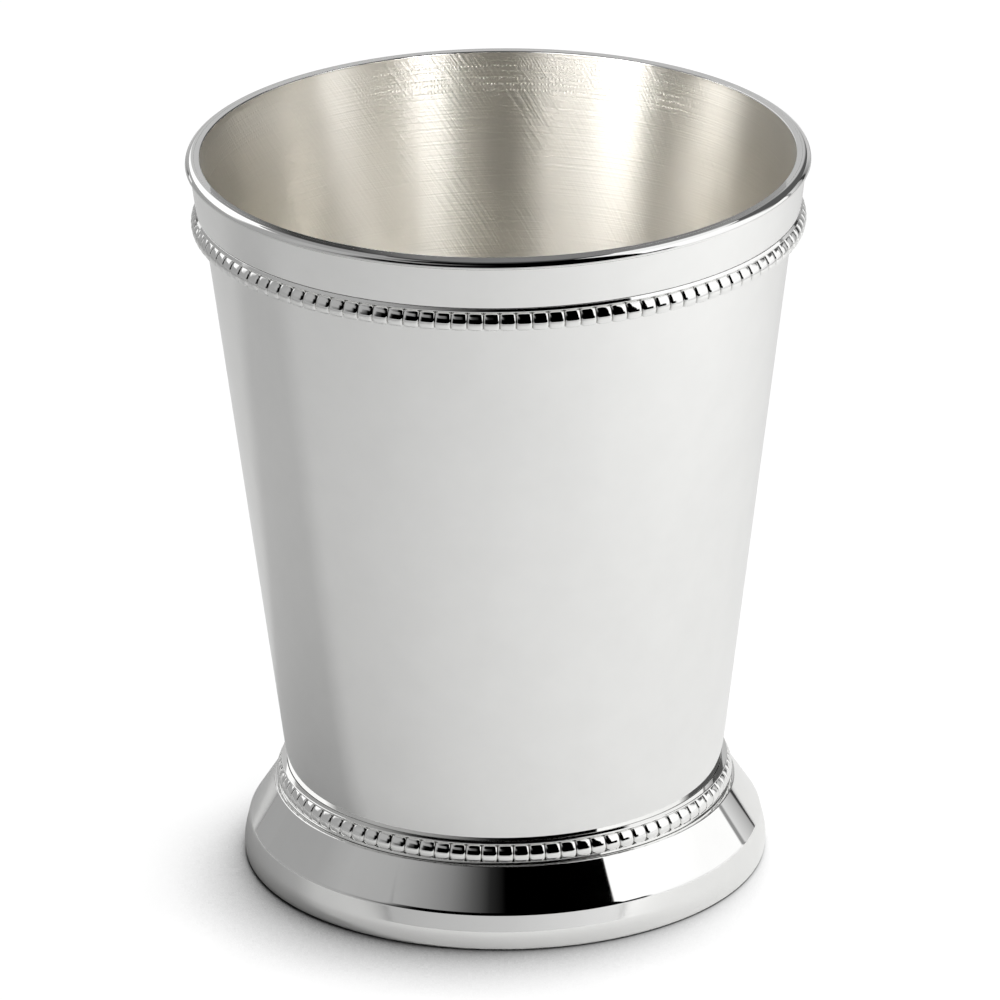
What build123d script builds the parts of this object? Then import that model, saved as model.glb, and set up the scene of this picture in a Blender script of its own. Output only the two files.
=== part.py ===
from build123d import *
import os
from math import cos, hypot, pi, sin, tan

# Julep cup: a spun beaker with a plain collar round its mouth, two beaded strips and a spread foot.
# Millimetres, +Z up. The cup stands on z = 0 with its axis on Z.

# Beaker: its outside at the lip and at its underside, and the sheet that it is spun from
HEIGHT = 101.6
MOUTH_RADIUS = 40.9
BASE_RADIUS = 29.5
WALL = 0.8
FLOOR_CORNER = 1.5

# Film of solder between each piece and the one that it is fixed to
SOLDER_FILM = 0.05

# Collar round the mouth, and the lip that rolls over its top edge
COLLAR_HEIGHT = 6.95
COLLAR_THICKNESS = 0.72
LIP_OVERHANG = 0.42
LIP_ROUNDING = 0.62
LIP_UNDERCUT = 0.6
LIP_FLATS = 2

# Beaded strip, the same stock for both rings: a bar with a row of domed beads and a plain fillet
# along its top edge
BAR_THICKNESS = 1.0
FILLET_WIDTH = 0.4
BEAD_HEIGHT = 2.64
BEAD_RISE = 0.65
BEAD_PITCH = 2.18

# Foot: the flat top that carries the beaker, the shoulder down to the arris, and the bulging band under it
FOOT_HEIGHT = 10.5
FOOT_TOP_RADIUS = 31.65
ARRIS_RADIUS = 35.25
ARRIS_HEIGHT = 5.05
BAND_RADIUS = 36.05
BAND_HEIGHT = 1.7
FOOT_RADIUS = 35.6
FOOT_SHEET = 0.9
FLANGE_WIDTH = 7.0
HEM_WIDTH = 1.8

# Heights and slopes that follow from these
CUP_UNDERSIDE = FOOT_HEIGHT + SOLDER_FILM
COLLAR_FOOT = HEIGHT - COLLAR_HEIGHT
STRIP_HEIGHT = FILLET_WIDTH + BEAD_HEIGHT
WALL_TAPER = (MOUTH_RADIUS - BASE_RADIUS) / (HEIGHT - CUP_UNDERSIDE)


def wall_radius(z):
    """Outside radius of the beaker's wall at height z."""
    return BASE_RADIUS + WALL_TAPER * (z - CUP_UNDERSIDE)


def seat_radius(z):
    """Inside radius, at height z, of a piece that is soldered round the beaker's wall."""
    return wall_radius(z) + SOLDER_FILM


def turned(*points):
    """Solid turned about the cup's axis from an outline of (radius, height) points."""
    section = make_face(Polyline(*points, close=True))
    return revolve(Plane.XZ * section, Axis.Z)


def make_cup_body():
    """Beaker: a straight tapered wall and a flat floor of one sheet, eased inside where they meet."""
    floor_top = CUP_UNDERSIDE + WALL
    corner_top = floor_top + FLOOR_CORNER
    return turned(
        (0, CUP_UNDERSIDE),
        (BASE_RADIUS, CUP_UNDERSIDE),
        (MOUTH_RADIUS, HEIGHT),
        (MOUTH_RADIUS - WALL, HEIGHT),
        (wall_radius(corner_top) - WALL, corner_top),
        (wall_radius(floor_top) - WALL - FLOOR_CORNER, floor_top),
        (0, floor_top),
    )


def make_rim_collar():
    """Collar that follows the wall, with a lip that rounds over from the flat top of the mouth."""
    lip_radius = seat_radius(HEIGHT) + COLLAR_THICKNESS + LIP_OVERHANG
    lip_turns = [pi / 2 * k / LIP_FLATS for k in range(LIP_FLATS + 1)]
    lip = [
        (lip_radius - LIP_ROUNDING * (1 - sin(turn)), HEIGHT - LIP_ROUNDING * (1 - cos(turn)))
        for turn in lip_turns
    ]
    under_lip = HEIGHT - LIP_ROUNDING - LIP_UNDERCUT
    return turned(
        (seat_radius(HEIGHT), HEIGHT),
        *lip,
        (seat_radius(under_lip) + COLLAR_THICKNESS, under_lip),
        (seat_radius(COLLAR_FOOT) + COLLAR_THICKNESS, COLLAR_FOOT),
        (seat_radius(COLLAR_FOOT), COLLAR_FOOT),
    )


def flat(*corners):
    """Flat face through corners in order."""
    return Face(Wire.make_polygon(corners))


def bead_skin(low_z, half_step):
    """Faces of one bead's length of strip, open at its two ends, which lie on planes through the axis.

    low_z is the height of the strip's lower edge, where the beads are, and half_step is the tangent of half
    the angle from bead to bead.
    """
    bead_z = low_z + BEAD_HEIGHT / 2
    bead_top = low_z + BEAD_HEIGHT
    fillet_z = low_z + STRIP_HEIGHT

    def rung(z, stand):
        """Two points, one on each end of the length, at a height and a distance from the wall."""
        radius = seat_radius(z) + stand
        return (radius, -radius * half_step, z), (radius, radius * half_step, z)

    def between(first, second):
        """Flat face between two rungs."""
        return flat(first[0], first[1], second[1], second[0])

    def outline(turn):
        """Corners of the bead's outline where its dome has turned by an angle towards its crown."""
        corners = []
        for edge, side in ((bead_top, -1), (bead_top, 1), (low_z, 1), (low_z, -1)):
            z = bead_z + cos(turn) * (edge - bead_z)
            radius = seat_radius(z) + BAR_THICKNESS + BEAD_RISE * sin(turn)
            half_width = cos(turn) * (seat_radius(edge) + BAR_THICKNESS) * half_step
            corners.append((radius, side * half_width, z))
        return corners

    back = [rung(z, 0) for z in (fillet_z, low_z)]
    front = [rung(z, BAR_THICKNESS) for z in (fillet_z, bead_top, low_z)]
    skin = [between(*back), between(back[0], front[0])]
    skin += [between(front[0], front[1]), between(front[2], back[1])]
    edge, shoulder = outline(0), outline(pi / 4)
    crown = (seat_radius(bead_z) + BAR_THICKNESS + BEAD_RISE, 0, bead_z)
    for k in range(4):
        skin.append(flat(edge[k - 1], edge[k], shoulder[k], shoulder[k - 1]))
        skin.append(flat(shoulder[k - 1], shoulder[k], crown))
    return skin


def make_bead_strip(low_z):
    """Beaded strip bent to a ring round the wall, with its lower edge at height low_z."""
    crown_radius = seat_radius(low_z + BEAD_HEIGHT / 2) + BAR_THICKNESS + BEAD_RISE
    count = round(2 * pi * crown_radius / BEAD_PITCH)
    skin = bead_skin(low_z, tan(pi / count))
    ring = [Rot(0, 0, 360 / count * k) * face for k in range(count) for face in skin]
    return Solid(Shell(ring))


def make_foot_ring():
    """Spun foot: flat top, sloping shoulder, bulging band and an edge folded in to stand on."""
    shoulder_run = ARRIS_RADIUS - FOOT_TOP_RADIUS
    shoulder_drop = FOOT_HEIGHT - ARRIS_HEIGHT
    inset = FOOT_SHEET * hypot(shoulder_run, shoulder_drop) / shoulder_drop
    ceiling = FOOT_HEIGHT - FOOT_SHEET
    hole_radius = FOOT_TOP_RADIUS - FLANGE_WIDTH
    return turned(
        (hole_radius, FOOT_HEIGHT),
        (FOOT_TOP_RADIUS, FOOT_HEIGHT),
        (ARRIS_RADIUS, ARRIS_HEIGHT),
        (BAND_RADIUS, BAND_HEIGHT),
        (FOOT_RADIUS, 0),
        (FOOT_RADIUS - HEM_WIDTH, 0),
        (ARRIS_RADIUS - inset, ARRIS_HEIGHT),
        (FOOT_TOP_RADIUS + shoulder_run * FOOT_SHEET / shoulder_drop - inset, ceiling),
        (hole_radius, ceiling),
    )


pieces = {
    "cup_body": make_cup_body(),
    "rim_collar": make_rim_collar(),
    "upper_bead_strip": make_bead_strip(COLLAR_FOOT - SOLDER_FILM - STRIP_HEIGHT),
    "lower_bead_strip": make_bead_strip(CUP_UNDERSIDE),
    "foot_ring": make_foot_ring(),
}

os.makedirs("parts", exist_ok=True)
for name, piece in pieces.items():
    export_step(piece, f"parts/{name}.step")
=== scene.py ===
"""Julep cup in polished silver plate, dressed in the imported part's own frame.

Each soldered piece of the cup is a class that builds its mesh from the frame's boxes and puts its finish on.
Lengths are metres; a size that is easier to read in millimetres is written as a number times MM.
"""

import logging
from dataclasses import dataclass
from enum import Enum, IntEnum
from math import atan2, ceil, cos, hypot, pi, radians, sin, tan
from typing import Any, Optional, Sequence

import bpy
from mathutils import Matrix, Vector


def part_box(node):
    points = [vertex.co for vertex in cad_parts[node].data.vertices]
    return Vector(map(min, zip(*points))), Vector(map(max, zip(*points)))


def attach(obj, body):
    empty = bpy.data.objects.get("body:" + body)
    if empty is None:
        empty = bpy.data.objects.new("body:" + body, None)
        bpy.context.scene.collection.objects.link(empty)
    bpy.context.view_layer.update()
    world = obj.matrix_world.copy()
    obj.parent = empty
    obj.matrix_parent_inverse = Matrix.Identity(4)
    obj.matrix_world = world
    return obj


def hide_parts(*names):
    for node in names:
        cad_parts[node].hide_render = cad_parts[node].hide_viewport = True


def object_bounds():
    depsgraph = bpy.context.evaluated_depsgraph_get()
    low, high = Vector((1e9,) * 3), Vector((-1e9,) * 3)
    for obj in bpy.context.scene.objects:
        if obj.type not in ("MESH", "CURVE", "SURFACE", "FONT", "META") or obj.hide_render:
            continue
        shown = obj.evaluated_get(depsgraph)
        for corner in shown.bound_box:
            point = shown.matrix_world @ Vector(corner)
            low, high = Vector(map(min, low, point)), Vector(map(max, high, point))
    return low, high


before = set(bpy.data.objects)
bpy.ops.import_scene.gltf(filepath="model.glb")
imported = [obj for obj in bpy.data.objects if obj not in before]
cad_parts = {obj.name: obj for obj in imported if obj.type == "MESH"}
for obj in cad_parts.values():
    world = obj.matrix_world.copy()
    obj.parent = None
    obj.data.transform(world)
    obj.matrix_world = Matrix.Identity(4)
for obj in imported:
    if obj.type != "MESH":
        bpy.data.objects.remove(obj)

MM = 0.001
BODY = "root"
CAD_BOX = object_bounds()

# Attributes and the surface map that the finishes and the tent read
# Where tarnish and painted shade darken the beads
GROOVE_TARNISH_AND_SHADE = "groove"
GLOW = "glow"
SURFACE_MAP = "surface"

# Fineness of turned shapes, and the radius below which a point lies on the axis
TURN_STEPS = 360
ARC_STEP = radians(9)
ON_AXIS = 1e-9

# A step too small to see, as at a seam that is polished flush
FLUSH = 0.01 * MM

logging.basicConfig(level=logging.INFO, format="%(name)s: %(message)s")
log = logging.getLogger("julep_cup")


class Finish(IntEnum):
    """Which of a turned piece's materials a face has."""

    MIRROR = 0
    SATIN = 1


class StripEdge(Enum):
    """A plain edge of a beaded strip: the fillet above its beads or the sill below them."""

    FILLET = "fillet"
    SILL = "sill"


def linear(hex_colour: str) -> tuple[float, float, float, float]:
    """Turn an sRGB hex colour into the linear colour that a shader takes.

    Args:
        hex_colour: six hex digits after a hash sign.

    Returns:
        Red, green, blue and an alpha of 1.
    """
    parts = [int(hex_colour[k:k + 2], 16) / 255 for k in (1, 3, 5)]
    red, green, blue = (v / 12.92 if v <= 0.04045 else ((v + 0.055) / 1.055) ** 2.4 for v in parts)
    return red, green, blue, 1.0


def add_node(
    tree: bpy.types.NodeTree,
    kind: str,
    values: Optional[dict[Any, Any]] = None,
    links: Optional[dict[Any, bpy.types.NodeSocket]] = None,
    **settings: Any,
) -> bpy.types.Node:
    """Add one node with its settings, socket values and links.

    Args:
        tree: node tree that gets the node.
        kind: Blender's type name for it.
        values: input socket, by name or number, to its constant.
        links: input socket, by name or number, to the output that feeds it.
        settings: the node's own properties.

    Returns:
        The new node.
    """
    node = tree.nodes.new(kind)
    for name, value in settings.items():
        setattr(node, name, value)
    for socket, value in (values or {}).items():
        node.inputs[socket].default_value = value
    for socket, source in (links or {}).items():
        tree.links.new(source, node.inputs[socket])
    return node


def new_material(name: str) -> tuple[bpy.types.Material, bpy.types.NodeTree]:
    """Start an empty node material.

    Args:
        name: the material's name.

    Returns:
        The material and its node tree.
    """
    material = bpy.data.materials.new(name)
    material.use_nodes = True
    material.node_tree.nodes.clear()
    return material, material.node_tree


# Finishes


@dataclass(frozen=True)
class PolishedSilver:
    """Silver plate on brass, buffed to a mirror.

    The eye sees the room in it, hardly blurred, bent a little where the buffing wheel dwelt, with a faint haze of
    wiping marks.
    """

    name: str = "polished_silver_plate"
    colour: str = "#F6F6F5"
    haze_colour: str = "#EFEFEE"
    roughness: tuple[float, float] = (0.02, 0.06)
    dwell_size: float = 22 * MM
    dwell_depth: float = 0.02 * MM
    haze_size: float = 6 * MM
    haze_range: tuple[float, float] = (0.35, 0.7)
    # Tarnish and painted shade in the grooves between beads take this darker colour
    groove_tarnish_and_shade_colour: str = "#7C7A76"

    def make(self, tarnish_and_shade: bool = False) -> bpy.types.Material:
        """Make the material.

        Args:
            tarnish_and_shade: whether the mesh carries a groove attribute that says where tarnish and painted shade
                darken it.

        Returns:
            The material.
        """
        material, tree = new_material(self.name + ("_in_relief" if tarnish_and_shade else ""))
        place = add_node(tree, "ShaderNodeTexCoord")
        dwell = add_node(
            tree,
            "ShaderNodeTexNoise",
            {"Scale": 1 / self.dwell_size, "Detail": 1.0, "Roughness": 0.4},
            {"Vector": place.outputs["Object"]},
        )
        bump = add_node(
            tree,
            "ShaderNodeBump",
            {"Strength": 1.0, "Distance": self.dwell_depth},
            {"Height": dwell.outputs["Fac"]},
        )
        haze = add_node(
            tree,
            "ShaderNodeTexNoise",
            {"Scale": 1 / self.haze_size, "Detail": 4.0, "Roughness": 0.6},
            {"Vector": place.outputs["Object"]},
        )
        rough = add_node(
            tree,
            "ShaderNodeMapRange",
            {
                "From Min": self.haze_range[0],
                "From Max": self.haze_range[1],
                "To Min": self.roughness[0],
                "To Max": self.roughness[1],
            },
            {"Value": haze.outputs["Fac"]},
        )
        tone = add_node(
            tree,
            "ShaderNodeMix",
            {6: linear(self.colour), 7: linear(self.haze_colour)},
            {0: haze.outputs["Fac"]},
            data_type="RGBA",
        ).outputs[2]
        # Painted shade with tarnish: the groove attribute darkens the grooves between beads and the beads' backs
        if tarnish_and_shade:
            groove = add_node(tree, "ShaderNodeAttribute", attribute_name=GROOVE_TARNISH_AND_SHADE)
            tone = add_node(
                tree,
                "ShaderNodeMix",
                {7: linear(self.groove_tarnish_and_shade_colour)},
                {0: groove.outputs["Fac"], 6: tone},
                data_type="RGBA",
            ).outputs[2]
        metal = add_node(
            tree,
            "ShaderNodeBsdfPrincipled",
            {"Metallic": 1.0},
            {"Base Color": tone, "Roughness": rough.outputs["Result"], "Normal": bump.outputs["Normal"]},
        )
        add_node(tree, "ShaderNodeOutputMaterial", links={"Surface": metal.outputs["BSDF"]})
        return material


@dataclass(frozen=True)
class SatinSilver:
    """Silver plate over a turned surface that was rubbed with abrasive and not buffed.

    The turning lines run round the cup, so the eye sees light drawn out up and down the wall into soft streaks, with
    a warm cast, fine lines, slanting wiping marks and a few rows of dents where the tool chattered.
    """

    name: str = "satin_silver_plate"
    colour: str = "#F6F3EC"
    shade_colour: str = "#EFEBE3"
    roughness: tuple[float, float] = (0.3, 0.37)
    stretch: float = 1.0
    quarter_turn: float = 0.25
    patch_size: float = 16 * MM
    line_size: tuple[float, float] = (40 * MM, 0.25 * MM)
    line_depth: float = 0.035 * MM
    line_range: tuple[float, float] = (0.3, 0.7)
    wipe_size: tuple[float, float] = (7 * MM, 0.35 * MM)
    wipe_slant: float = radians(-57)
    wipe_depth: float = 0.026 * MM
    wipe_cover: tuple[float, float] = (0.25, 0.55)
    dent_step: tuple[float, float] = (0.52 * MM, 0.86 * MM)
    dent_depth: float = 0.012 * MM
    dent_scatter: float = 0.2
    dent_edge: tuple[float, float] = (0.1, 0.3)
    dent_cover: tuple[float, float] = (0.44, 0.54)
    dent_zones: tuple[tuple[float, float], ...] = ((1.75 * MM, 2.55 * MM), (3.45 * MM, 6.0 * MM))

    def make(self, rim_v: float) -> bpy.types.Material:
        """Make the material.

        Args:
            rim_v: length along the beaker's outline, which the surface map counts in metres, where the mouth is.

        Returns:
            The material.
        """
        material, tree = new_material(self.name)
        place = add_node(tree, "ShaderNodeUVMap", uv_map=SURFACE_MAP).outputs["UV"]
        patches = add_node(
            tree, "ShaderNodeTexNoise", {"Scale": 1 / self.patch_size, "Detail": 2.0}, {"Vector": place}
        ).outputs["Fac"]
        lines = self.lines(tree, place)
        reliefs = (
            (lines, self.line_depth),
            (self.wipes(tree, place, patches), self.wipe_depth),
            (self.dents(tree, place, patches, rim_v), self.dent_depth),
        )
        normal = add_node(tree, "ShaderNodeNewGeometry").outputs["Normal"]
        for height, depth in reliefs:
            normal = add_node(
                tree, "ShaderNodeBump", {"Strength": 1.0, "Distance": depth}, {"Height": height, "Normal": normal}
            ).outputs["Normal"]
        rough = add_node(
            tree,
            "ShaderNodeMapRange",
            {
                "From Min": self.line_range[0],
                "From Max": self.line_range[1],
                "To Min": self.roughness[0],
                "To Max": self.roughness[1],
            },
            {"Value": lines},
        )
        tone = add_node(
            tree,
            "ShaderNodeMix",
            {6: linear(self.colour), 7: linear(self.shade_colour)},
            {0: patches},
            data_type="RGBA",
        )
        round_the_cup = add_node(tree, "ShaderNodeTangent", direction_type="RADIAL", axis="Z")
        metal = add_node(
            tree,
            "ShaderNodeBsdfPrincipled",
            {"Metallic": 1.0, "Anisotropic": self.stretch, "Anisotropic Rotation": self.quarter_turn},
            {
                "Base Color": tone.outputs[2],
                "Roughness": rough.outputs["Result"],
                "Normal": normal,
                "Tangent": round_the_cup.outputs["Tangent"],
            },
        )
        add_node(tree, "ShaderNodeOutputMaterial", links={"Surface": metal.outputs["BSDF"]})
        return material

    def lines(self, tree: bpy.types.NodeTree, place: bpy.types.NodeSocket) -> bpy.types.NodeSocket:
        """Lines left by turning, really near 0.1 mm apart and drawn coarser so that they show.

        Args:
            tree: node tree to add to.
            place: surface map in metres.

        Returns:
            Height of the lines.
        """
        drawn_out = add_node(
            tree, "ShaderNodeMapping", {"Scale": (*self.line_size, 1)}, {"Vector": place}, vector_type="TEXTURE"
        )
        return add_node(
            tree,
            "ShaderNodeTexNoise",
            {"Scale": 1.0, "Detail": 1.0, "Roughness": 0.5},
            {"Vector": drawn_out.outputs["Vector"]},
        ).outputs["Fac"]

    def wipes(
        self, tree: bpy.types.NodeTree, place: bpy.types.NodeSocket, patches: bpy.types.NodeSocket
    ) -> bpy.types.NodeSocket:
        """Slanting marks of the rubbing, in patches.

        Args:
            tree: node tree to add to.
            place: surface map in metres.
            patches: noise that says where the marks gather.

        Returns:
            Height of the marks.
        """
        slanted = add_node(
            tree,
            "ShaderNodeMapping",
            {"Rotation": (0, 0, self.wipe_slant), "Scale": (*self.wipe_size, 1)},
            {"Vector": place},
            vector_type="TEXTURE",
        )
        marks = add_node(
            tree, "ShaderNodeTexNoise", {"Scale": 1.0, "Detail": 1.0}, {"Vector": slanted.outputs["Vector"]}
        )
        cover = add_node(
            tree,
            "ShaderNodeMapRange",
            {"From Min": self.wipe_cover[0], "From Max": self.wipe_cover[1]},
            {"Value": patches},
        )
        return add_node(
            tree,
            "ShaderNodeMath",
            links={0: marks.outputs["Fac"], 1: cover.outputs["Result"]},
            operation="MULTIPLY",
        ).outputs["Value"]

    def dents(
        self,
        tree: bpy.types.NodeTree,
        place: bpy.types.NodeSocket,
        patches: bpy.types.NodeSocket,
        rim_v: float,
    ) -> bpy.types.NodeSocket:
        """Rows of small dents, where the tool chattered, in zones below the mouth.

        Args:
            tree: node tree to add to.
            place: surface map in metres.
            patches: noise that says where the rows break off.
            rim_v: length along the outline to the mouth.

        Returns:
            Height of the dents.
        """
        rows = add_node(
            tree,
            "ShaderNodeMapping",
            {"Location": (0, rim_v, 0), "Scale": (*self.dent_step, 1)},
            {"Vector": place},
            vector_type="TEXTURE",
        )
        cells = add_node(
            tree,
            "ShaderNodeTexVoronoi",
            {"Scale": 1.0, "Randomness": self.dent_scatter},
            {"Vector": rows.outputs["Vector"]},
            voronoi_dimensions="2D",
        )
        height = add_node(
            tree,
            "ShaderNodeMapRange",
            {"From Min": self.dent_edge[0], "From Max": self.dent_edge[1]},
            {"Value": cells.outputs["Distance"]},
        )
        depth = add_node(tree, "ShaderNodeSeparateXYZ", links={"Vector": place}).outputs["Y"]
        cover = add_node(
            tree,
            "ShaderNodeMapRange",
            {"From Min": self.dent_cover[0], "From Max": self.dent_cover[1]},
            {"Value": patches},
        ).outputs["Result"]
        zones = None
        for top, bottom in self.dent_zones:
            zone = add_node(
                tree,
                "ShaderNodeMath",
                {1: rim_v + (top + bottom) / 2, 2: (bottom - top) / 2},
                {0: depth},
                operation="COMPARE",
            ).outputs["Value"]
            if zones is not None:
                zone = add_node(tree, "ShaderNodeMath", links={0: zones, 1: zone}, operation="ADD").outputs["Value"]
            zones = zone
        dented = add_node(tree, "ShaderNodeMath", links={0: zones, 1: cover}, operation="MULTIPLY")
        level = add_node(
            tree, "ShaderNodeMix", {2: 1.0}, {0: dented.outputs["Value"], 3: height.outputs["Result"]}
        )
        return level.outputs[0]


# Turned shapes


@dataclass(frozen=True)
class Corner:
    """A corner of a turned outline: its radius and height, how far it is rounded, and the finish after it."""

    r: float
    z: float
    rounding: float = 0.0
    finish: Finish = Finish.MIRROR


@dataclass(frozen=True)
class OutlinePoint:
    """A point of a rounded outline, with the way that the surface faces there and the finish after it."""

    r: float
    z: float
    out_r: float
    out_z: float
    finish: Finish


def rounded_outline(corners: Sequence[Corner], closed: bool) -> list[OutlinePoint]:
    """Round an outline's corners.

    The outline runs with the metal on its left. An open one starts and ends on the cup's axis.

    Args:
        corners: the corners in order.
        closed: whether the last corner joins the first.

    Returns:
        Points along the outline.
    """
    points = []
    for k, corner in enumerate(corners):
        before, after = corners[k - 1], corners[(k + 1) % len(corners)]
        start = atan2(corner.z - before.z, corner.r - before.r)
        end = atan2(after.z - corner.z, after.r - corner.r)
        if not closed and k == 0:
            start = end
        if not closed and k == len(corners) - 1:
            end = start
        turn = (end - start + pi) % (2 * pi) - pi
        side = 1 if turn > 0 else -1
        reach = corner.rounding * tan(abs(turn) / 2)
        centre_r = corner.r - reach * cos(start) - side * corner.rounding * sin(start)
        centre_z = corner.z - reach * sin(start) + side * corner.rounding * cos(start)
        steps = max(1, ceil(abs(turn) / ARC_STEP)) if corner.rounding else 0
        for step in range(steps + 1):
            way = start + turn * (step / steps if steps else 0)
            out_r, out_z = sin(way), -cos(way)
            points.append(
                OutlinePoint(
                    max(0.0, centre_r + side * corner.rounding * out_r),
                    centre_z + side * corner.rounding * out_z,
                    out_r,
                    out_z,
                    corner.finish,
                )
            )
    return points


def turned_mesh(name: str, outline: Sequence[OutlinePoint], closed: bool) -> bpy.types.Mesh:
    """Turn an outline about the cup's axis.

    Args:
        name: the mesh's name.
        outline: points from rounded_outline.
        closed: whether the last point joins the first.

    Returns:
        A mesh with smooth normals and a surface map that counts metres round the cup and along the outline.
    """
    turns = [2 * pi * k / TURN_STEPS for k in range(TURN_STEPS)]
    verts, normals, rings, along = [], [], [], [0.0]
    for k, point in enumerate(outline):
        spread = turns if point.r > ON_AXIS else turns[:1]
        rings.append(range(len(verts), len(verts) + len(spread)))
        for turn in spread:
            verts.append((point.r * cos(turn), point.r * sin(turn), point.z))
            normals.append((point.out_r * cos(turn), point.out_r * sin(turn), point.out_z))
        following = outline[(k + 1) % len(outline)]
        along.append(along[-1] + hypot(following.r - point.r, following.z - point.z))
    girth = 2 * pi * max(point.r for point in outline) / TURN_STEPS
    faces, places, finishes = [], [], []
    for k in range(len(outline) if closed else len(outline) - 1):
        low, high = rings[k], rings[(k + 1) % len(outline)]
        for turn in range(TURN_STEPS):
            ring_steps = [(low, along[k], 0), (low, along[k], 1), (high, along[k + 1], 1), (high, along[k + 1], 0)]
            corner_ids, corner_places = [], []
            for ring, height, step in ring_steps:
                vert = ring[(turn + step) % len(ring)]
                if vert not in corner_ids:
                    corner_ids.append(vert)
                    corner_places.append(((turn + step) * girth, height))
            faces.append(corner_ids)
            places.extend(corner_places)
            finishes.append(int(outline[k].finish))
    mesh = bpy.data.meshes.new(name)
    mesh.from_pydata(verts, [], faces)
    mesh.polygons.foreach_set("material_index", finishes)
    mesh.shade_smooth()
    surface = mesh.uv_layers.new(name=SURFACE_MAP)
    surface.data.foreach_set("uv", [value for place in places for value in place])
    mesh.normals_split_custom_set_from_vertices(normals)
    return mesh


def outline_length(outline: Sequence[OutlinePoint], finish: Finish) -> float:
    """Length along an outline to where a finish starts.

    Args:
        outline: points from rounded_outline.
        finish: the finish to look for.

    Returns:
        The length in metres.
    """
    length = 0.0
    for point, following in zip(outline, outline[1:]):
        if point.finish == finish:
            break
        length += hypot(following.r - point.r, following.z - point.z)
    return length


def place_piece(
    mesh: bpy.types.Mesh, node: str, finishes: Sequence[bpy.types.Material]
) -> bpy.types.Object:
    """Put a piece in the scene in place of its CAD node.

    Args:
        mesh: the piece's mesh, which also names it.
        node: the CAD node that it stands for.
        finishes: its materials.

    Returns:
        The new object.
    """
    piece = bpy.data.objects.new(mesh.name, mesh)
    bpy.context.scene.collection.objects.link(piece)
    for finish in finishes:
        mesh.materials.append(finish)
    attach(piece, BODY)
    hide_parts(node)
    log.info("%s: %d faces for %s", piece.name, len(mesh.polygons), node)
    return piece


# The cup's pieces


@dataclass(frozen=True)
class Wall:
    """The beaker's tapered wall, read from the frame, which every other piece is fitted to."""

    foot_z: float
    foot_r: float
    rim_z: float
    rim_r: float

    @classmethod
    def from_frame(cls) -> "Wall":
        """Read the wall's two end circles from the beaker's CAD node.

        Returns:
            The wall.
        """
        low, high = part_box("cup_body")
        points = [vert.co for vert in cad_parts["cup_body"].data.vertices]
        reach = [hypot(point.x, point.y) for point in points if point.z < low.z + FLUSH]
        return cls(low.z, max(reach), high.z, high.x)

    @property
    def taper(self) -> float:
        """Growth of radius for each metre of height."""
        return (self.rim_r - self.foot_r) / (self.rim_z - self.foot_z)

    def radius(self, z: float) -> float:
        """Outside radius at a height."""
        return self.foot_r + self.taper * (z - self.foot_z)


@dataclass
class Beaker:
    """The spun beaker: mirror outside, satin inside."""

    wall: Wall
    sheet: float = 0.8 * MM
    foot_rounding: float = 0.25 * MM
    seam_rounding: float = FLUSH
    rim_rounding: float = 0.2 * MM
    floor_rounding: float = 4.0 * MM

    def build(self, mirror: bpy.types.Material, satin: SatinSilver) -> bpy.types.Object:
        """Build the beaker and dress it.

        Args:
            mirror: finish of the outside.
            satin: finish of the inside.

        Returns:
            The beaker.
        """
        wall, floor_z = self.wall, self.wall.foot_z + self.sheet
        satin_z = wall.rim_z - self.rim_rounding
        outline = rounded_outline(
            [
                Corner(0.0, wall.foot_z),
                Corner(wall.foot_r, wall.foot_z, self.foot_rounding),
                Corner(wall.rim_r, wall.rim_z, self.seam_rounding),
                Corner(wall.rim_r - self.sheet, wall.rim_z, self.rim_rounding),
                Corner(wall.radius(satin_z) - self.sheet, satin_z, 0.0, Finish.SATIN),
                Corner(wall.radius(floor_z) - self.sheet, floor_z, self.floor_rounding, Finish.SATIN),
                Corner(0.0, floor_z, 0.0, Finish.SATIN),
            ],
            closed=False,
        )
        mesh = turned_mesh("beaker", outline, closed=False)
        inside = satin.make(outline_length(outline, Finish.SATIN))
        return place_piece(mesh, "cup_body", [mirror, inside])


@dataclass
class RimCollar:
    """The plain collar round the mouth and the lip rolled over its top edge.

    The seam to the beaker is drawn closed, as solder that was polished flush. The lip's arc stops a little short of
    the corner under it.
    """

    wall: Wall
    film: float = FLUSH
    thickness: float = 0.76 * MM
    lip_rounding: float = 1.0 * MM
    arc_share: float = 0.98
    undercut: float = 0.3 * MM
    neck_rounding: float = 0.25 * MM
    edge_rounding: float = 0.12 * MM
    seam_rounding: float = FLUSH

    def build(self, mirror: bpy.types.Material) -> bpy.types.Object:
        """Build the collar and dress it.

        Args:
            mirror: its finish.

        Returns:
            The collar.
        """
        low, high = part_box("rim_collar")
        under_lip = high.z - self.lip_rounding - self.undercut

        def seat(z: float) -> float:
            """Inside radius at a height."""
            return self.wall.radius(z) + self.film

        outline = rounded_outline(
            [
                Corner(seat(low.z), low.z, self.seam_rounding),
                Corner(seat(low.z) + self.thickness, low.z, self.edge_rounding),
                Corner(seat(under_lip) + self.thickness, under_lip, self.neck_rounding),
                Corner(high.x, high.z - self.lip_rounding, self.seam_rounding),
                Corner(high.x, high.z, self.lip_rounding * self.arc_share),
                Corner(seat(high.z), high.z, self.seam_rounding),
            ],
            closed=True,
        )
        mesh = turned_mesh("mouth_collar", outline, closed=True)
        return place_piece(mesh, "rim_collar", [mirror])


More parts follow.
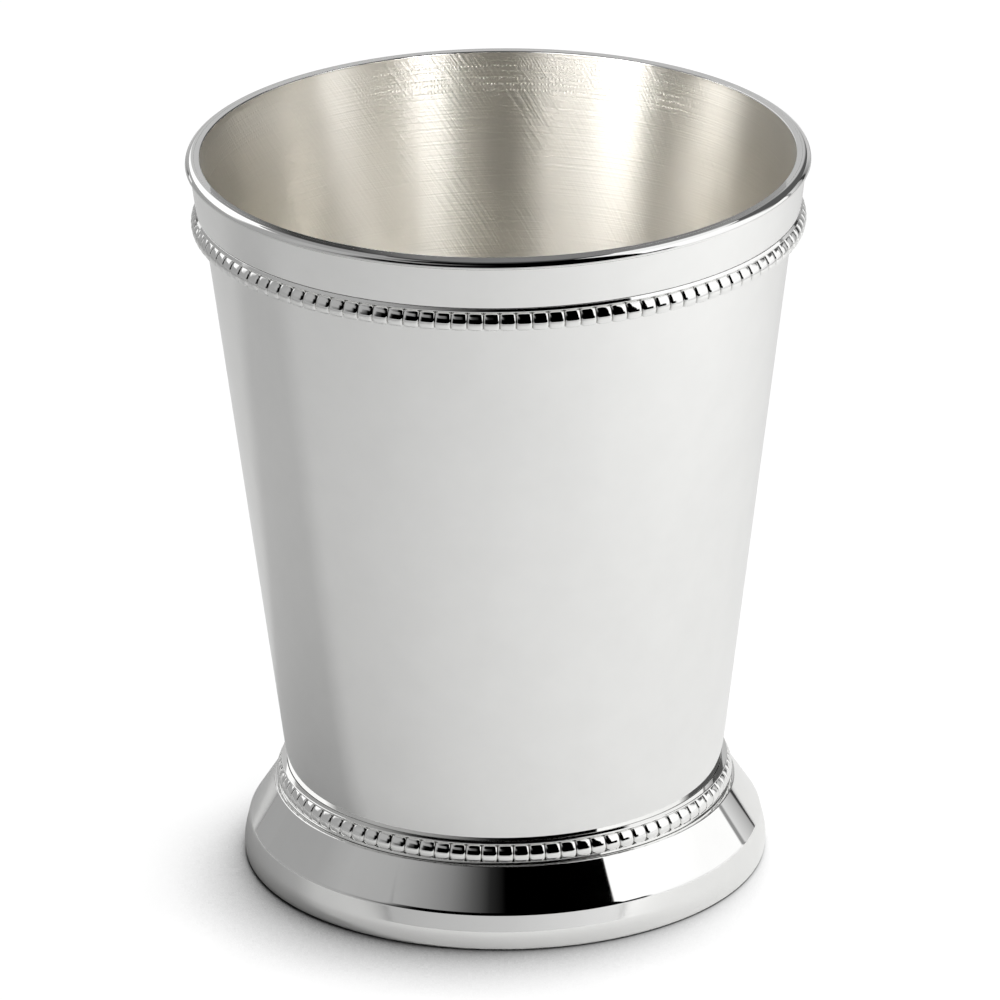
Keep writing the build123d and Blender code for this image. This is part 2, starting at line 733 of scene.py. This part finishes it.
@dataclass
class BeadStrip:
    """A pressed strip of square-shouldered beads with a plain fillet along its top, bent to a ring.

    The beads swell most below their middle, so the eye sees a dark top over a bright foot in each. Tarnish and
    painted shade darken the grooves between them and the beads' backs against the wall.
    """

    wall: Wall
    node: str
    name: str
    film: float = 0.05 * MM
    pitch: float = 2.18 * MM
    bead_height: float = 2.64 * MM
    bead_seat: float = 0.33 * MM
    crown: float = 1.65 * MM
    crown_share: float = 0.38
    top_squareness: float = 1.5
    foot_squareness: float = 3.0
    squareness: float = 5.0
    overlap: float = 1.07
    groove_start: float = 0.65
    groove_gain: float = 2.8
    sill_height: float = 0.0
    sill_stand: float = 1.5 * MM
    fillet_height: float = 0.4 * MM
    fillet_stand: tuple[float, float] = (1.05 * MM, 0.7 * MM)
    fillet_rounding: float = 0.1 * MM
    fillet_tuck: float = 0.1 * MM
    back_rounding: float = 0.05 * MM
    steps: int = 12
    arc_steps: int = 18

    def build(self, relief: bpy.types.Material) -> list[bpy.types.Object]:
        """Build the beads and the strip's plain edges and dress them.

        Args:
            relief: their finish.

        Returns:
            The row of beads, the fillet and, where the strip has one, the sill.
        """
        bead_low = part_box(self.node)[0].z + self.sill_height
        bead_top = bead_low + self.bead_height
        meshes = [
            self.bead_mesh((bead_low + bead_top) / 2),
            self.edge_mesh(
                StripEdge.FILLET, bead_top - self.fillet_tuck, bead_top + self.fillet_height, self.fillet_stand
            ),
        ]
        if self.sill_height:
            stand = (self.sill_stand, self.sill_stand)
            sill_low, sill_top = bead_low - self.sill_height, bead_low + self.fillet_tuck
            meshes.append(self.edge_mesh(StripEdge.SILL, sill_low, sill_top, stand))
        return [place_piece(mesh, self.node, [relief]) for mesh in meshes]

    def bead_mesh(self, bead_z: float) -> bpy.types.Mesh:
        """Make the row of beads as one closed ring that swells and narrows.

        Args:
            bead_z: height of the row's middle.

        Returns:
            The mesh, with an attribute that is 1 in the grooves and 0 on the crowns.
        """
        seat = self.wall.radius(bead_z) + self.film
        count = round(2 * pi * (seat + self.crown) / self.pitch)
        lean = atan2(self.wall.taper, 1.0)
        half = self.bead_height / 2
        crown_up = (2 * self.crown_share - 1) * half
        verts, grooves = [], []
        columns = count * self.steps
        for column in range(columns):
            # Columns crowd towards the grooves, where the surface turns fastest
            share = 2 * (column % self.steps) / self.steps - 1
            near_groove = sin(share * pi / 2) / self.overlap
            swell = (1 - abs(near_groove) ** self.squareness) ** (1 / self.squareness)
            turn = 2 * pi * (column // self.steps + 0.5 + sin(share * pi / 2) / 2) / count
            section = [(0.0, -half * swell)]
            for step in range(self.arc_steps + 1):
                arc = pi * (step / self.arc_steps - 0.5)
                power = 2 / (self.top_squareness if arc > 0 else self.foot_squareness)
                reach = half - crown_up if arc > 0 else -half - crown_up
                rise = self.bead_seat + (self.crown - self.bead_seat) * swell * max(0.0, cos(arc)) ** power
                section.append((rise, (crown_up + reach * abs(sin(arc)) ** power) * swell))
            section.append((0.0, half * swell))
            for rise, up in section:
                radius = seat + rise * cos(lean) + up * sin(lean)
                height = bead_z + up * cos(lean) - rise * sin(lean)
                verts.append((radius * cos(turn), radius * sin(turn), height))
                # Tarnish and painted shade: darker towards each groove, and full on the back against the wall
                depth = max(0.0, abs(share) - self.groove_start) * self.groove_gain * abs(share)
                grooves.append(depth if rise else 1.0)
        across = len(verts) // columns
        faces = []
        for column in range(columns):
            left, right = column * across, (column + 1) % columns * across
            for step in range(across):
                after = (step + 1) % across
                faces.append((left + step, right + step, right + after, left + after))
        mesh = bpy.data.meshes.new(self.name)
        mesh.from_pydata(verts, [], faces)
        mesh.shade_smooth()
        mesh.attributes.new(GROOVE_TARNISH_AND_SHADE, "FLOAT", "POINT").data.foreach_set("value", grooves)
        return mesh

    def edge_mesh(
        self, edge: StripEdge, low_z: float, high_z: float, stands: tuple[float, float]
    ) -> bpy.types.Mesh:
        """Make a plain edge of the strip.

        Args:
            edge: which edge it is.
            low_z: its lower edge.
            high_z: its upper edge.
            stands: how far its lower and its upper edge stand off the wall.

        Returns:
            The mesh.
        """
        inner = [self.wall.radius(z) + self.film for z in (low_z, high_z)]
        outer = [radius + stand for radius, stand in zip(inner, stands)]
        outline = rounded_outline(
            [
                Corner(inner[0], low_z, self.back_rounding),
                Corner(outer[0], low_z, self.fillet_rounding),
                Corner(outer[1], high_z, self.fillet_rounding),
                Corner(inner[1], high_z, self.back_rounding),
            ],
            closed=True,
        )
        return turned_mesh(f"{self.name}_{edge.value}", outline, closed=True)


@dataclass
class Foot:
    """The spun, hollow foot."""

    top_radius: float = 31.65 * MM
    arris_radius: float = 35.25 * MM
    arris_z: float = 5.05 * MM
    band_z: float = 1.7 * MM
    edge_radius: float = 35.8 * MM
    hem: float = 1.8 * MM
    sheet: float = 0.9 * MM
    flange: float = 7.0 * MM
    top_rounding: float = 0.2 * MM
    arris_rounding: float = 1.6 * MM
    band_rounding: float = 6.0 * MM
    edge_rounding: float = 0.45 * MM
    inner_rounding: float = 0.25 * MM

    def build(self, mirror: bpy.types.Material) -> bpy.types.Object:
        """Build the foot and dress it.

        Args:
            mirror: its finish.

        Returns:
            The foot.
        """
        low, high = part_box("foot_ring")
        run, drop = self.arris_radius - self.top_radius, high.z - self.arris_z
        inset = self.sheet * hypot(run, drop) / drop
        ceiling = high.z - self.sheet
        hole = self.top_radius - self.flange
        outline = rounded_outline(
            [
                Corner(self.edge_radius - self.hem, low.z, self.inner_rounding),
                Corner(self.edge_radius, low.z, self.edge_rounding),
                Corner(high.x, self.band_z, self.band_rounding),
                Corner(self.arris_radius, self.arris_z, self.arris_rounding),
                Corner(self.top_radius, high.z, self.top_rounding),
                Corner(hole, high.z, self.inner_rounding),
                Corner(hole, ceiling, self.inner_rounding),
                Corner(self.top_radius + run * self.sheet / drop - inset, ceiling, self.inner_rounding),
                Corner(self.arris_radius - inset, self.arris_z, self.inner_rounding),
            ],
            closed=True,
        )
        mesh = turned_mesh("spread_foot", outline, closed=True)
        return place_piece(mesh, "foot_ring", [mirror])


# The studio


def dome(elevation: float, reach: float = 0.9) -> tuple[float, float]:
    """Radius and height of the light tent's dome at an elevation in degrees."""
    return reach * cos(radians(elevation)), reach * sin(radians(elevation))


@dataclass(frozen=True)
class TentBand:
    """Rows of lit or dark cloth round the cup's axis, which show only where the metal reflects them.

    The rows lie between edges that are given as radius and height, from the lowest up. A row's stops run round it as
    pairs: degrees to the right of the camera as the cup sees it, and the glow there, where 1 is white. Glow changes
    evenly from one stop to the next.
    """

    name: str
    edges: tuple[tuple[float, float], ...]
    rows: tuple[tuple[tuple[float, float], ...], ...]
    step: float = 2.0

    def columns(self, stops: Sequence[tuple[float, float]]) -> list[tuple[float, float]]:
        """Cut a row into short straight columns.

        Args:
            stops: the row's stops.

        Returns:
            Azimuth and glow of each column's edge.
        """
        columns = []
        for (start, glow), (end, next_glow) in zip(stops, stops[1:]):
            parts = max(1, ceil((end - start) / self.step))
            for k in range(parts):
                columns.append((start + (end - start) * k / parts, glow + (next_glow - glow) * k / parts))
        return [*columns, stops[-1]]

    def hang(self) -> bpy.types.Object:
        """Make the rows.

        Returns:
            The band, which the camera, diffuse light, shadows, transmission and volumes don't see.
        """
        verts, glows, faces = [], [], []
        for lower, upper, stops in zip(self.edges, self.edges[1:], self.rows):
            columns = self.columns(stops)
            first = len(verts)
            for azimuth, glow in columns:
                for radius, height in (lower, upper):
                    verts.append((radius * sin(radians(azimuth)), -radius * cos(radians(azimuth)), height))
                    glows.append(glow)
            ends = range(first, len(verts) - 2, 2)
            faces.extend((vert, vert + 2, vert + 3, vert + 1) for vert in ends)
        mesh = bpy.data.meshes.new(self.name)
        mesh.from_pydata(verts, [], faces)
        mesh.attributes.new(GLOW, "FLOAT", "POINT").data.foreach_set("value", glows)
        material, tree = new_material(self.name)
        glow = add_node(tree, "ShaderNodeAttribute", attribute_name=GLOW)
        light = add_node(tree, "ShaderNodeEmission", links={"Strength": glow.outputs["Fac"]})
        add_node(tree, "ShaderNodeOutputMaterial", links={"Surface": light.outputs["Emission"]})
        mesh.materials.append(material)
        band = bpy.data.objects.new(self.name, mesh)
        bpy.context.scene.collection.objects.link(band)
        for ray in ("camera", "diffuse", "shadow", "transmission", "volume_scatter"):
            setattr(band, f"visible_{ray}", False)
        return band


def above_mouth(rise: float, spread: float = 0.9) -> tuple[float, float]:
    """Radius and height of a ring that hangs over the mouth, as a share of the lip's radius and a rise above it."""
    lip = CAD_BOX[1]
    return spread * lip[0], lip[2] + rise


@dataclass(frozen=True)
class MouthStrip:
    """An upright strip of light over the mouth.

    Its middle, its width and the fade at each side are in degrees. Its glow is even across the width.
    """

    middle: float
    width: float
    glow: float
    fade: float

    def glow_at(self, azimuth: float) -> float:
        """Glow that the strip adds at an azimuth."""
        past_edge = max(0.0, abs(azimuth - self.middle) - self.width / 2)
        return self.glow * max(0.0, 1 - past_edge / self.fade)


def strip_row(*strips: MouthStrip, step: int = 2) -> tuple[tuple[float, float], ...]:
    """Stops, at even steps in degrees, of a row that is dark apart from its strips."""
    return tuple(
        (azimuth, sum(strip.glow_at(azimuth) for strip in strips)) for azimuth in range(-180, 181, step)
    )


# Rises above the lip and the shade's share of its radius
SHADE_LOW = 0.4 * MM
STRIPS_LOW = 10 * MM
STRIPS_MIDDLE = 30 * MM
STRIPS_TOP = 78.5 * MM
SHADE_SPREAD = 0.92

# What the cup mirrors. The tent is the room round it, the shade keeps the strips off the lip, and the strips draw the
# satin's streaks. A glow over 1 is seen by no camera.
TENT = (
    TentBand(
        "light_tent",
        tuple(dome(elevation) for elevation in (-2, 8, 20, 35, 48, 72, 90)),
        (
            # Level with the table: the band and the far ends of the shoulder
            (
                (-180, 0.7), (-165, 0.65), (-150, 0.3), (-149, 0.12), (-147, 0.12), (-146.5, 1.0), (-142, 1.0),
                (-141.5, 0.37), (-60, 0.44), (0, 0.6), (60, 0.9), (124, 1.0), (125, 0.3), (126.5, 0.3),
                (127.5, 0.75), (138, 0.45), (139, 0.05), (142.5, 0.05), (143, 0.25), (155, 0.6), (180, 0.8),
            ),
            # Low: the shoulder's sides, and the dark line of the arris
            (
                (-180, 0.5), (-142, 0.37), (-95, 0.38), (-75, 0.4), (-60, 0.25), (-48, 0.05), (-40, 0), (62, 0),
                (66, 1.1), (124, 1.1), (125, 0.3), (126.5, 0.3), (127.5, 0.75), (138, 0.45), (139, 0.05),
                (142.5, 0.05), (143, 0.25), (155, 0.6), (180, 0.5),
            ),
            # Half way: the arris and the beads' fronts
            (
                (-180, 0.55), (-170, 0.55), (-165, 1.2), (-115, 1.2), (-105, 0.38), (-95, 0.38), (-80, 0.45),
                (-57, 0.42), (-49, 0.1), (-44, 0.02), (-40, 0), (52, 0), (52.5, 1.2), (110, 1.1), (120, 0.1),
                (165, 0.1), (172, 0.55), (180, 0.55),
            ),
            # Above the camera: the shoulder's front, from grey through black to white
            (
                (-180, 0.55), (-170, 0.55), (-165, 1.2), (-115, 1.2), (-105, 0.38), (-95, 0.38), (-80, 0.45),
                (-55, 0.42), (-38, 0.31), (-28, 0.23), (-17, 0.1), (-8, 0.02), (0, 0), (52, 0), (52.5, 1.2),
                (110, 1.1), (120, 0.1), (165, 0.1), (172, 0.55), (180, 0.55),
            ),
            # High: the beads' tops
            (
                (-180, 0.3), (-62, 0.35), (-48, 0.2), (-40, 0), (52, 0), (54, 1.0), (132, 1.0), (150, 0.4),
                (180, 0.3),
            ),
            # Overhead
            ((-180, 0.05), (180, 0.05)),
        ),
    ),
    TentBand(
        "mouth_shade",
        (above_mouth(SHADE_LOW, SHADE_SPREAD), above_mouth(STRIPS_TOP, SHADE_SPREAD)),
        (
            (
                (-180, 0.1), (-165, 0.05), (-110, 0.05), (-85, 0.34), (-60, 0.25), (-45, 0.05), (-30, 0.05),
                (-15, 0.2), (40, 0.22), (85, 0.4), (160, 0.4), (180, 0.1),
            ),
        ),
    ),
    TentBand(
        "mouth_strips",
        (
            above_mouth(STRIPS_LOW),
            above_mouth(STRIPS_MIDDLE),
            above_mouth(STRIPS_TOP),
            above_mouth(STRIPS_TOP, spread=0.0),
        ),
        (
            strip_row(
                MouthStrip(-152, 32, 4.2, 7),
                MouthStrip(-77, 14, 11.5, 14),
                MouthStrip(-45, 26, 6.0, 14),
                MouthStrip(41.5, 11, 10.8, 11),
                MouthStrip(101, 12, 5.0, 12),
                MouthStrip(155, 20, 1.0, 20),
            ),
            strip_row(
                MouthStrip(-160, 40, 0.4, 10),
                MouthStrip(-89, 6, 0.75, 12),
                MouthStrip(48, 5, 1.9, 11),
                MouthStrip(118, 8, 1.2, 16),
                MouthStrip(160, 40, 0.4, 10),
            ),
            strip_row(),
        ),
    ),
)


@dataclass
class Studio:
    """White table, soft lamps, light tent and white surround."""

    table_size: float = 3.0
    table_colour: str = "#EEEEED"
    table_seen_colour: str = "#484848"
    table_lift: float = 1.0
    mirror_share: float = 0.2
    # Painted shadow round the foot: ambient occlusion, leaned back and to the right, dims the white lift
    painted_shadow_reach: float = 40 * MM
    painted_shadow_lean: tuple[float, float, float] = (0.25, 0.45, 0.85)
    painted_shadow_range: tuple[float, float] = (0.38, 0.73)
    painted_shadow_samples: int = 16
    fill: float = 0.05
    key_power: float = 2.0
    key_size: float = 0.12
    key_place: tuple[float, float, float] = (0.56, -0.16, 0.44)
    soft_power: float = 2.25
    soft_size: float = 0.6
    soft_place: tuple[float, float, float] = (0.25, 0.0, 0.45)

    def build(self) -> None:
        """Lay the table, hang the tent and place the lamps."""
        self.lay_table()
        for band in TENT:
            band.hang()
        self.place_lamp("key_lamp", self.key_place, self.key_size, self.key_power)
        self.place_lamp("soft_lamp", self.soft_place, self.soft_size, self.soft_power)
        self.surround()
        log.info("studio: %d tent bands", len(TENT))

    def lay_table(self) -> None:
        """Make the white table, which the camera sees lifted to white, with a painted shadow round the cup's foot
        from ambient occlusion leaned back and to the right, and only a faint real shadow from the lamps.
        """
        half = self.table_size / 2
        mesh = bpy.data.meshes.new("table")
        corners = [(-half, -half, 0), (half, -half, 0), (half, half, 0), (-half, half, 0)]
        mesh.from_pydata(corners, [], [range(len(corners))])
        table = bpy.data.objects.new("table", mesh)
        bpy.context.scene.collection.objects.link(table)
        material, tree = new_material("white_table")
        paths = add_node(tree, "ShaderNodeLightPath").outputs
        plain = add_node(tree, "ShaderNodeBsdfDiffuse", {"Color": linear(self.table_colour)})
        seen = add_node(tree, "ShaderNodeBsdfDiffuse", {"Color": linear(self.table_seen_colour)})
        leaning = Vector(self.painted_shadow_lean).normalized()
        lean = add_node(tree, "ShaderNodeCombineXYZ", dict(enumerate(leaning)))
        # Painted shadow: occlusion along a leaned normal dims the white glow near the cup
        painted_shadow_ao = add_node(
            tree,
            "ShaderNodeAmbientOcclusion",
            {"Distance": self.painted_shadow_reach},
            {"Normal": lean.outputs["Vector"]},
            samples=self.painted_shadow_samples,
        )
        painted_shadow_lift = add_node(
            tree,
            "ShaderNodeMapRange",
            {"From Min": self.painted_shadow_range[0], "From Max": self.painted_shadow_range[1], "To Max": self.table_lift},
            {"Value": painted_shadow_ao.outputs["AO"]},
        )
        glow = add_node(tree, "ShaderNodeEmission", links={"Strength": painted_shadow_lift.outputs["Result"]})
        white = add_node(
            tree, "ShaderNodeAddShader", links={0: seen.outputs["BSDF"], 1: glow.outputs["Emission"]}
        )
        mirrored = add_node(
            tree,
            "ShaderNodeMath",
            {1: self.mirror_share},
            {0: paths["Is Glossy Ray"]},
            operation="MULTIPLY",
        )
        straight = add_node(
            tree,
            "ShaderNodeMath",
            links={0: paths["Is Camera Ray"], 1: paths["Is Transmission Ray"]},
            operation="ADD",
        )
        share = add_node(
            tree,
            "ShaderNodeMath",
            links={0: straight.outputs["Value"], 1: mirrored.outputs["Value"]},
            operation="ADD",
            use_clamp=True,
        )
        mix = add_node(
            tree,
            "ShaderNodeMixShader",
            links={0: share.outputs["Value"], 1: plain.outputs["BSDF"], 2: white.outputs["Shader"]},
        )
        add_node(tree, "ShaderNodeOutputMaterial", links={"Surface": mix.outputs["Shader"]})
        mesh.materials.append(material)

    def place_lamp(self, name: str, place: tuple[float, float, float], size: float, power: float) -> None:
        """Place one soft square lamp that looks at the cup.

        Args:
            name: the lamp's name.
            place: where it hangs.
            size: its side.
            power: its watts.
        """
        light = bpy.data.lights.new(name, "AREA")
        light.energy = power
        light.size = size
        lamp = bpy.data.objects.new(name, light)
        lamp.location = place
        lamp.rotation_euler = Vector(place).to_track_quat("Z", "Y").to_euler()
        lamp.visible_glossy = False
        bpy.context.scene.collection.objects.link(lamp)

    def surround(self) -> None:
        """Make the white surround, which fills the table's shadows with less light than it shows."""
        world = bpy.data.worlds.new("white_surround")
        world.use_nodes = True
        tree = world.node_tree
        tree.nodes.clear()
        paths = add_node(tree, "ShaderNodeLightPath").outputs
        seen = add_node(
            tree,
            "ShaderNodeMath",
            links={0: paths["Is Camera Ray"], 1: paths["Is Glossy Ray"]},
            operation="MAXIMUM",
        )
        shown = add_node(
            tree,
            "ShaderNodeMath",
            links={0: seen.outputs["Value"], 1: paths["Is Transmission Ray"]},
            operation="MAXIMUM",
        )
        level = add_node(
            tree,
            "ShaderNodeMapRange",
            {"To Min": self.fill, "To Max": 1.0},
            {"Value": shown.outputs["Value"]},
        )
        light = add_node(
            tree, "ShaderNodeBackground", {"Color": (1, 1, 1, 1)}, {"Strength": level.outputs["Result"]}
        )
        add_node(tree, "ShaderNodeOutputWorld", links={"Surface": light.outputs["Background"]})
        bpy.context.scene.world = world


@dataclass
class PhotoCamera:
    """The camera where the photograph was taken from, with a long lens."""

    distance: float = 1.344
    elevation: float = radians(22.18)
    roll: float = radians(-0.605)
    aim_z: float = 51.0 * MM
    focal_pixels: float = 9863.0
    image_pixels: float = 1000.0
    offset_pixels: float = 1.7
    sensor: float = 36.0
    near_clip: float = 0.05

    def place(self) -> None:
        """Make the camera and look through it."""
        data = bpy.data.cameras.new("photo_camera")
        data.sensor_width = self.sensor
        data.lens = self.sensor * self.focal_pixels / self.image_pixels
        data.shift_x = -self.offset_pixels / self.image_pixels
        data.clip_start = self.near_clip
        back = Vector((0, -cos(self.elevation), sin(self.elevation)))
        level_up = Vector((0, sin(self.elevation), cos(self.elevation)))
        level_right = Vector((1, 0, 0))
        right = level_right * cos(self.roll) + level_up * sin(self.roll)
        up = level_up * cos(self.roll) - level_right * sin(self.roll)
        camera = bpy.data.objects.new("photo_camera", data)
        camera.matrix_world = Matrix.Translation(back * self.distance + Vector((0, 0, self.aim_z))) @ Matrix(
            (right, up, back)
        ).transposed().to_4x4()
        bpy.context.scene.collection.objects.link(camera)
        bpy.context.scene.camera = camera


def main() -> None:
    """Build the cup piece by piece, then the studio and the camera."""
    bpy.context.scene.view_settings.view_transform = "Standard"
    wall = Wall.from_frame()
    silver = PolishedSilver()
    mirror, relief = silver.make(), silver.make(tarnish_and_shade=True)
    Beaker(wall).build(mirror, SatinSilver())
    RimCollar(wall).build(mirror)
    BeadStrip(wall, "upper_bead_strip", "upper_beads").build(relief)
    # The lower strip stands on the foot with a plain sill, and its fillet is no more than a line
    BeadStrip(
        wall, "lower_bead_strip", "lower_beads", bead_height=2.5 * MM, sill_height=0.28 * MM, fillet_height=0.12 * MM
    ).build(relief)
    Foot().build(mirror)
    Studio().build()
    PhotoCamera().place()


if __name__ == "__main__":
    main()
